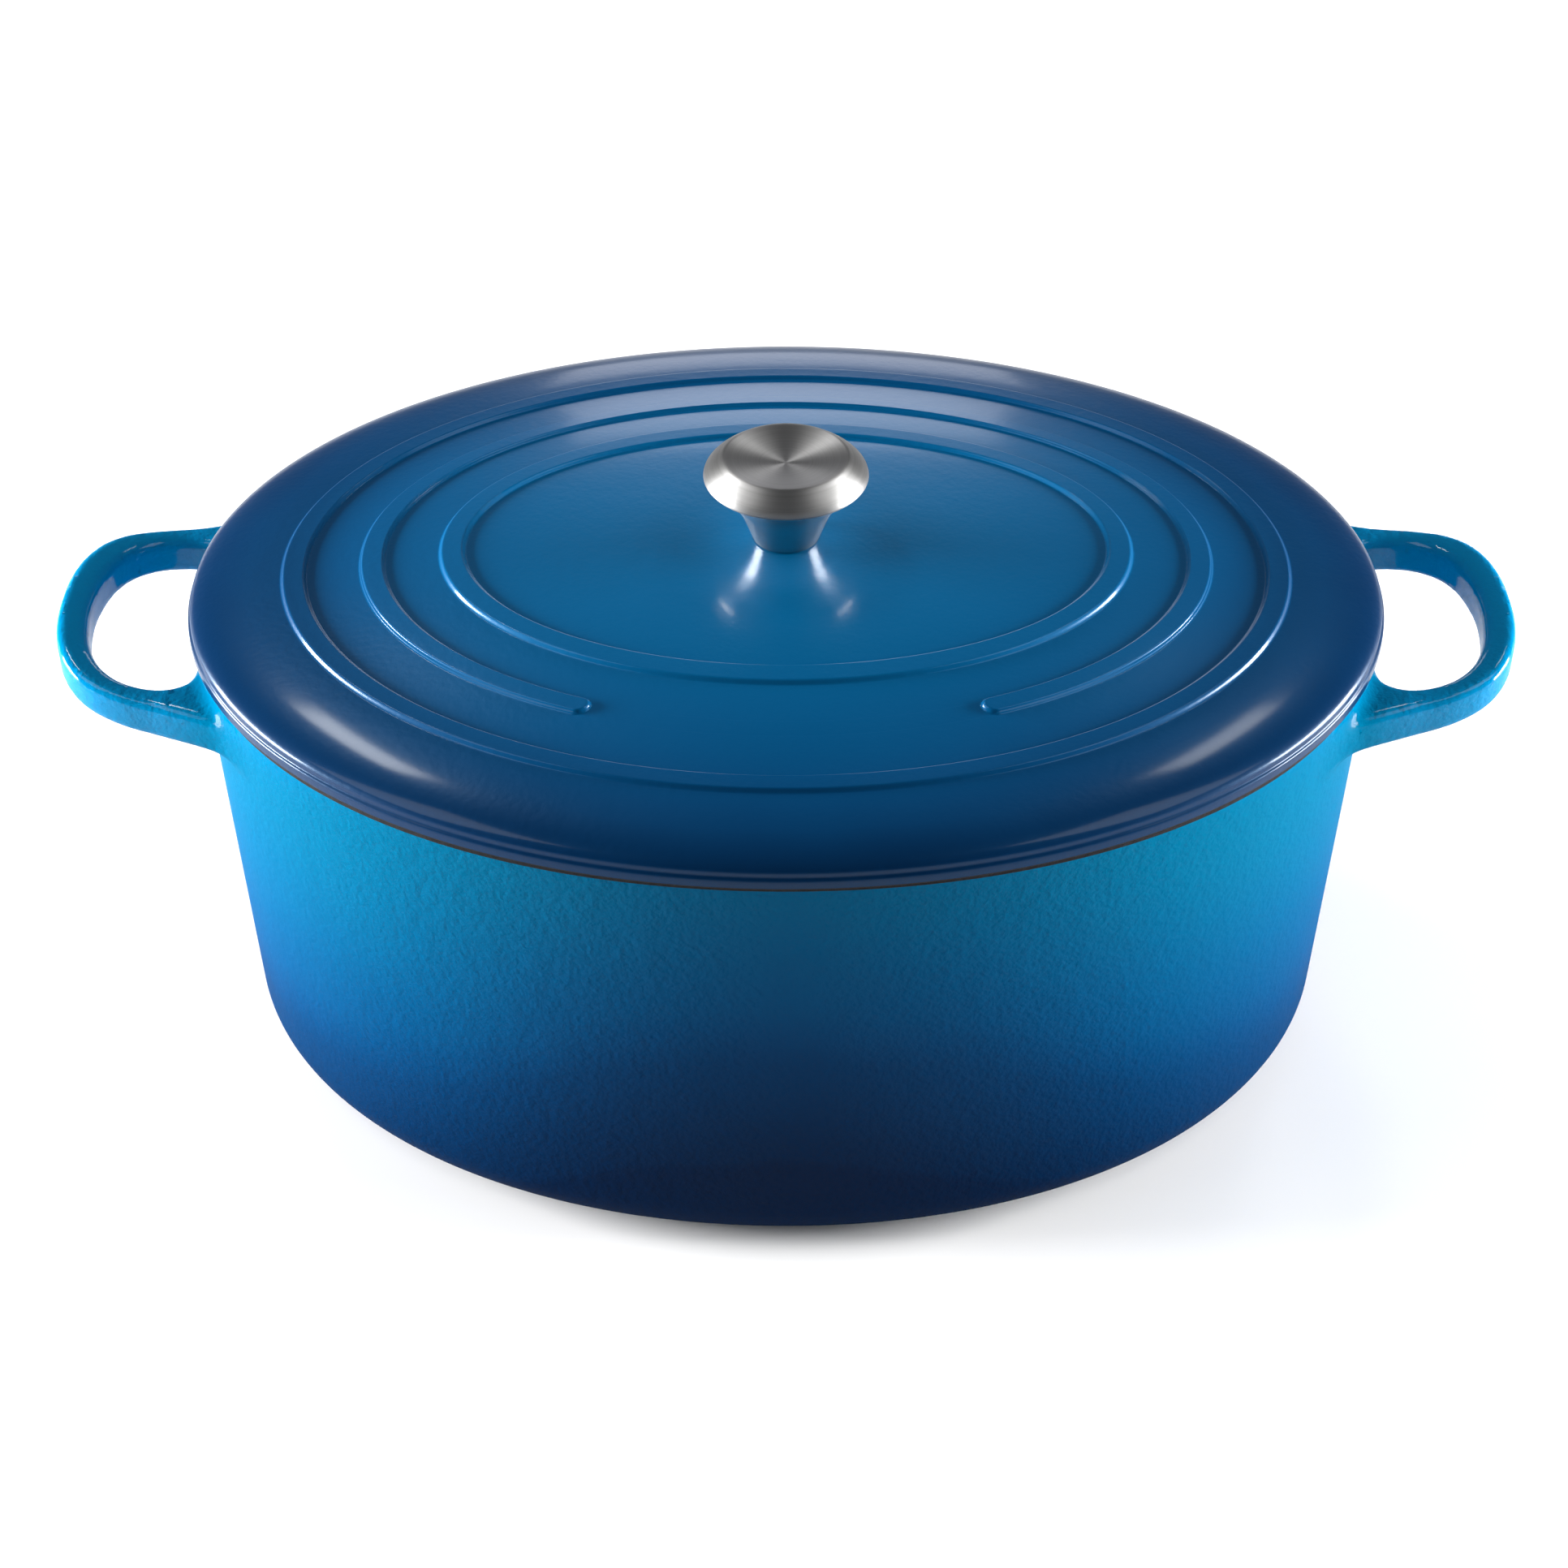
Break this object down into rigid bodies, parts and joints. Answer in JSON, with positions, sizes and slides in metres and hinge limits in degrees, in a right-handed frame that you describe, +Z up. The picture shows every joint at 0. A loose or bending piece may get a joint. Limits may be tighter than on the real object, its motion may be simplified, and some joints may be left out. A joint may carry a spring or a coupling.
{
  "type": "cast iron dutch oven",
  "caption": "Oval enamelled cast iron dutch oven with cast loop handles and a domed, ringed lid that lifts off by a dished steel knob.",
  "frame": {"origin": "on the resting plane under the pot's centre", "axes": "+X along the handles, +Z up, the lid's plain gap towards -Y"},
  "size_m": [0.5126, 0.326, 0.2279],
  "materials": {
    "enamel_body": "gloss enamel over cast iron, cyan blue at the rim fading to dark navy at the foot",
    "enamel_lid": "gloss enamel over cast iron, blue in the middle fading to dark navy at the edge",
    "enamel_interior": "pale sand gloss enamel inside the pot and the lid",
    "enamel_rim": "matt black enamel on the pot's rim and the lid's seat",
    "brushed_steel": "radially brushed stainless steel",
    "zinc_steel": "plain zinc-plated steel",
    "brass_insert": "turned"
  },
  "bodies": {
    "pot": {"pot": "enamel_body"},
    "lid": {"lid": "enamel_lid", "knob_cap": "brushed_steel", "knob_stem": "brushed_steel", "knob_insert": "brass_insert", "knob_screw": "zinc_steel", "spring_washer": "zinc_steel", "flat_washer": "zinc_steel"}
  },
  "joints": [
    {"name": "lid_lift", "type": "slide", "parent": "pot", "child": "lid", "axis": [0, 0, 1], "range_m": [0, 0.2]}
  ]
}
